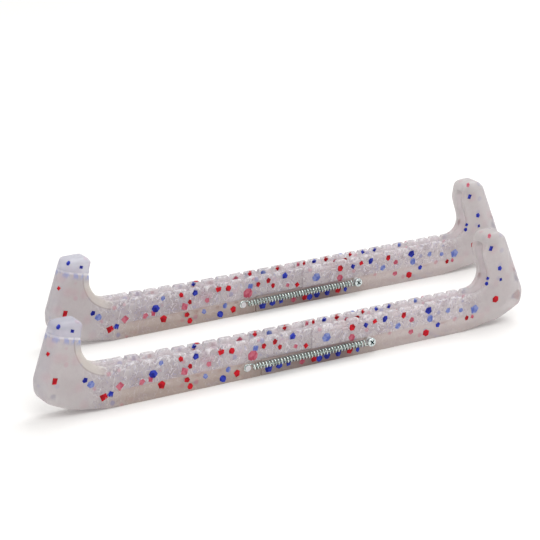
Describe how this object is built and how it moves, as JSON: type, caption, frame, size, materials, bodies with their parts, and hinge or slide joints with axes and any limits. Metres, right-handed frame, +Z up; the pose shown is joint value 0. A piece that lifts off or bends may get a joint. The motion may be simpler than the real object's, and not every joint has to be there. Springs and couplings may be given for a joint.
{
  "type": "skate blade guards",
  "caption": "Spring-closed protective covers for ice skate blades, clear moulded plastic with scattered coloured chips.",
  "frame": {"origin": "centre of the pair's bounding box, on the surface the soles stand on", "axes": "+X from toe to heel, +Y from the near guard to the far guard, +Z up"},
  "size_m": [0.3613, 0.1044, 0.0565],
  "materials": {
    "clear_plastic": "satin, milky and see-through, with red and blue chips cast in",
    "spring_steel": "drawn wire, zinc plated",
    "zinc_screw": "bright zinc plate"
  },
  "bodies": {
    "near_toe": {"near_toe_half": "clear_plastic"},
    "near_heel": {"near_heel_half": "clear_plastic", "near_spring": "spring_steel", "near_screw": "zinc_screw"},
    "far_toe": {"far_toe_half": "clear_plastic"},
    "far_heel": {"far_heel_half": "clear_plastic", "far_spring": "spring_steel", "far_screw": "zinc_screw"}
  },
  "joints": [
    {"name": "near_extension", "type": "slide", "parent": "near_toe", "child": "near_heel", "axis": [1, 0, 0], "range_m": [0, 0.03], "stiffness_N_per_m": 900, "springref_m": -0.008, "deforming": ["near_spring"]},
    {"name": "far_guard_apart", "type": "slide", "parent": "near_toe", "child": "far_toe", "axis": [0, 1, 0], "range_m": [0, 0.1]},
    {"name": "far_extension", "type": "slide", "parent": "far_toe", "child": "far_heel", "axis": [1, 0, 0], "range_m": [0, 0.03], "stiffness_N_per_m": 900, "springref_m": -0.008, "deforming": ["far_spring"]}
  ]
}
